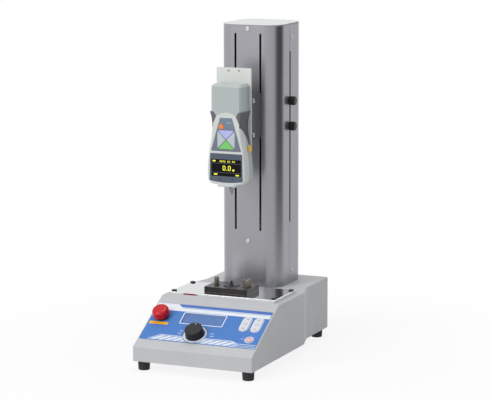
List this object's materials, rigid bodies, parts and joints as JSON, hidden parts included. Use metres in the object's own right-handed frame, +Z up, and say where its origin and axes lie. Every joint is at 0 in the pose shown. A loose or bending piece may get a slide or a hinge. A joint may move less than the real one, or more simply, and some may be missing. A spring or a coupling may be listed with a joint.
{
  "type": "motorised vertical force test stand",
  "caption": "Bench test stand with a motor-driven carriage on a column, holding a hand-held digital force gauge above a fixture table with a sloped control panel.",
  "frame": {"origin": "centre of the footprint, on the surface that the feet stand on", "axes": "+Z up the column, -Y towards the operator and the control panel, +X to the operator's right"},
  "size_m": [0.235, 0.4, 0.6082],
  "materials": {
    "housing_paint": "light grey fine-textured paint",
    "column_aluminium": "satin silver-grey metallic paint",
    "inner_steel": "zinc plated steel",
    "ground_steel": "ground and polished steel",
    "polished_steel": "mirror polished stainless steel",
    "screw_steel": "nickel plated steel",
    "black_screws": "black oxide",
    "blackened_steel": "black oxide with worn edges",
    "bracket_steel": "off-white paint",
    "dark_paint": "dark grey satin paint",
    "carriage_aluminium": "milled aluminium",
    "brass_bushes": "bronze and brass",
    "black_rubber": "matte black rubber",
    "grip_rubber": "dark grey moulded rubber",
    "gauge_shell": "grey-green moulded plastic",
    "gauge_bezel": "off-white moulded plastic",
    "keypad_film": "slate grey printed film",
    "gauge_screen": "black screen in a slate panel",
    "overlay_film": "blue, white and grey printed film",
    "display_window": "clear window",
    "key_plastic": "light grey plastic",
    "black_plastic": "black moulded plastic",
    "switch_plastic": "glossy black plastic",
    "red_plastic": "glossy red plastic",
    "blue_key": "lavender blue plastic",
    "green_key": "green plastic",
    "orange_key": "orange plastic",
    "yellow_key": "yellow plastic",
    "circuit_board": "green solder mask with parts"
  },
  "bodies": {
    "root": {"base_cover": "housing_paint", "rear_panel": "inner_steel", "bottom_plate": "inner_steel", "rubber_feet": "black_rubber", "base_screws": "screw_steel", "power_inlet": "black_plastic", "power_supply": "circuit_board", "control_overlay": "overlay_film", "lcd_window": "display_window", "control_board": "circuit_board", "speed_encoder": "inner_steel", "estop_body": "black_plastic", "table_plate": "polished_steel", "table_screws": "black_screws", "fixture_block": "blackened_steel", "column_shell": "column_aluminium", "column_rear_cover": "column_aluminium", "column_cap": "housing_paint", "column_screws": "screw_steel", "column_foot": "inner_steel", "bearing_plates": "inner_steel", "guide_rods": "ground_steel", "timing_belt": "black_rubber", "drive_motor": "inner_steel", "limit_rail": "inner_steel"},
    "power_rocker": {"power_rocker": "switch_plastic"},
    "up_key": {"up_key": "key_plastic"},
    "down_key": {"down_key": "key_plastic"},
    "power_key": {"power_key": "key_plastic"},
    "speed_dial": {"speed_dial": "black_plastic"},
    "estop_plunger": {"estop_plunger": "black_plastic"},
    "estop_head": {"estop_head": "red_plastic"},
    "left_thumbscrew": {"left_thumbscrew": "screw_steel"},
    "right_thumbscrew": {"right_thumbscrew": "screw_steel"},
    "lead_screw": {"lead_screw": "ground_steel"},
    "motor_pulley": {"motor_pulley": "ground_steel"},
    "upper_limit": {"upper_limit_clamp": "inner_steel"},
    "upper_limit_knob": {"upper_limit_knob": "black_plastic"},
    "lower_limit": {"lower_limit_clamp": "inner_steel"},
    "lower_limit_knob": {"lower_limit_knob": "black_plastic"},
    "carriage": {"carriage_block": "carriage_aluminium", "carriage_bearings": "brass_bushes", "carriage_arms": "dark_paint", "gauge_bracket": "bracket_steel", "bracket_screws": "screw_steel", "gauge_front_shell": "gauge_bezel", "gauge_hood": "gauge_shell", "gauge_rear_shell": "gauge_shell", "gauge_grips": "grip_rubber", "gauge_keypad": "keypad_film", "gauge_display": "gauge_screen", "load_cell": "carriage_aluminium", "gauge_shaft": "ground_steel", "gauge_electronics": "circuit_board"},
    "gauge_up_key": {"gauge_up_key": "blue_key"},
    "gauge_left_key": {"gauge_left_key": "key_plastic"},
    "gauge_down_key": {"gauge_down_key": "green_key"},
    "gauge_right_key": {"gauge_right_key": "key_plastic"},
    "gauge_zero_key": {"gauge_zero_key": "orange_key"},
    "gauge_side_key": {"gauge_side_key": "yellow_key"}
  },
  "joints": [
    {"name": "carriage_lift", "type": "slide", "parent": "root", "child": "carriage", "axis": [0, 0, 1], "range_m": [-0.15, 0.1]},
    {"name": "lead_screw_turn", "type": "hinge", "parent": "root", "child": "lead_screw", "pos_m": [0, 0.1, 0.3], "axis": [0, 0, 1], "range_deg": [-3610, 5410]},
    {"name": "motor_turn", "type": "hinge", "parent": "root", "child": "motor_pulley", "pos_m": [0, 0.14, 0.18], "axis": [0, 0, 1], "range_deg": [-7220, 10820]},
    {"name": "estop_press", "type": "slide", "parent": "root", "child": "estop_plunger", "axis": [0, 0.4986, -0.8668], "range_m": [0, 0.0039], "stiffness_N_per_m": 3000},
    {"name": "estop_release_turn", "type": "hinge", "parent": "estop_plunger", "child": "estop_head", "pos_m": [-0.093, -0.1338, 0.10009], "axis": [0, -0.4986, 0.8668], "range_deg": [-45, 0], "stiffness_Nm_per_rad": 0.05},
    {"name": "speed_dial_turn", "type": "hinge", "parent": "root", "child": "speed_dial", "pos_m": [-0.011, -0.16349, 0.07147], "axis": [0, -0.4986, 0.8668], "range_deg": [-150, 150]},
    {"name": "up_key_press", "type": "slide", "parent": "root", "child": "up_key", "axis": [0, 0.4986, -0.8668], "range_m": [0, 0.0005], "stiffness_N_per_m": 6000},
    {"name": "down_key_press", "type": "slide", "parent": "root", "child": "down_key", "axis": [0, 0.4986, -0.8668], "range_m": [0, 0.0005], "stiffness_N_per_m": 6000},
    {"name": "power_key_press", "type": "slide", "parent": "root", "child": "power_key", "axis": [0, 0.4986, -0.8668], "range_m": [0, 0.0005], "stiffness_N_per_m": 6000},
    {"name": "left_thumbscrew_turn", "type": "hinge", "parent": "root", "child": "left_thumbscrew", "pos_m": [-0.0308, -0.022, 0.133], "axis": [0, 0, 1], "range_deg": [0, 180]},
    {"name": "right_thumbscrew_turn", "type": "hinge", "parent": "root", "child": "right_thumbscrew", "pos_m": [0.0308, -0.022, 0.133], "axis": [0, 0, 1], "range_deg": [0, 180]},
    {"name": "upper_limit_slide", "type": "slide", "parent": "root", "child": "upper_limit", "axis": [0, 0, 1], "range_m": [-0.015, 0.084]},
    {"name": "upper_limit_knob_turn", "type": "hinge", "parent": "upper_limit", "child": "upper_limit_knob", "pos_m": [0.06, 0.1127, 0.4635], "axis": [1, 0, 0], "range_deg": [0, 180]},
    {"name": "lower_limit_slide", "type": "slide", "parent": "root", "child": "lower_limit", "axis": [0, 0, 1], "range_m": [-0.172, 0.015]},
    {"name": "lower_limit_knob_turn", "type": "hinge", "parent": "lower_limit", "child": "lower_limit_knob", "pos_m": [0.06, 0.1127, 0.4158], "axis": [1, 0, 0], "range_deg": [0, 180]},
    {"name": "gauge_up_key_press", "type": "slide", "parent": "carriage", "child": "gauge_up_key", "axis": [0, 1, 0], "range_m": [0, 0.0008], "stiffness_N_per_m": 2500},
    {"name": "gauge_left_key_press", "type": "slide", "parent": "carriage", "child": "gauge_left_key", "axis": [0, 1, 0], "range_m": [0, 0.0008], "stiffness_N_per_m": 2500},
    {"name": "gauge_down_key_press", "type": "slide", "parent": "carriage", "child": "gauge_down_key", "axis": [0, 1, 0], "range_m": [0, 0.0008], "stiffness_N_per_m": 2500},
    {"name": "gauge_right_key_press", "type": "slide", "parent": "carriage", "child": "gauge_right_key", "axis": [0, 1, 0], "range_m": [0, 0.0008], "stiffness_N_per_m": 2500},
    {"name": "gauge_zero_key_press", "type": "slide", "parent": "carriage", "child": "gauge_zero_key", "axis": [0, 1, 0], "range_m": [0, 0.0008], "stiffness_N_per_m": 2500},
    {"name": "gauge_side_key_press", "type": "slide", "parent": "carriage", "child": "gauge_side_key", "axis": [-1, 0, 0], "range_m": [0, 0.001], "stiffness_N_per_m": 2000},
    {"name": "power_rocker_tilt", "type": "hinge", "parent": "root", "child": "power_rocker", "pos_m": [0.046, 0.1937, 0.0822], "axis": [1, 0, 0], "range_deg": [0, 14]}
  ],
  "couplings": [
    {"joint": "lead_screw_turn", "follows": "carriage_lift", "rad_per_m": -628.32},
    {"joint": "motor_turn", "follows": "carriage_lift", "rad_per_m": -1256.6}
  ]
}
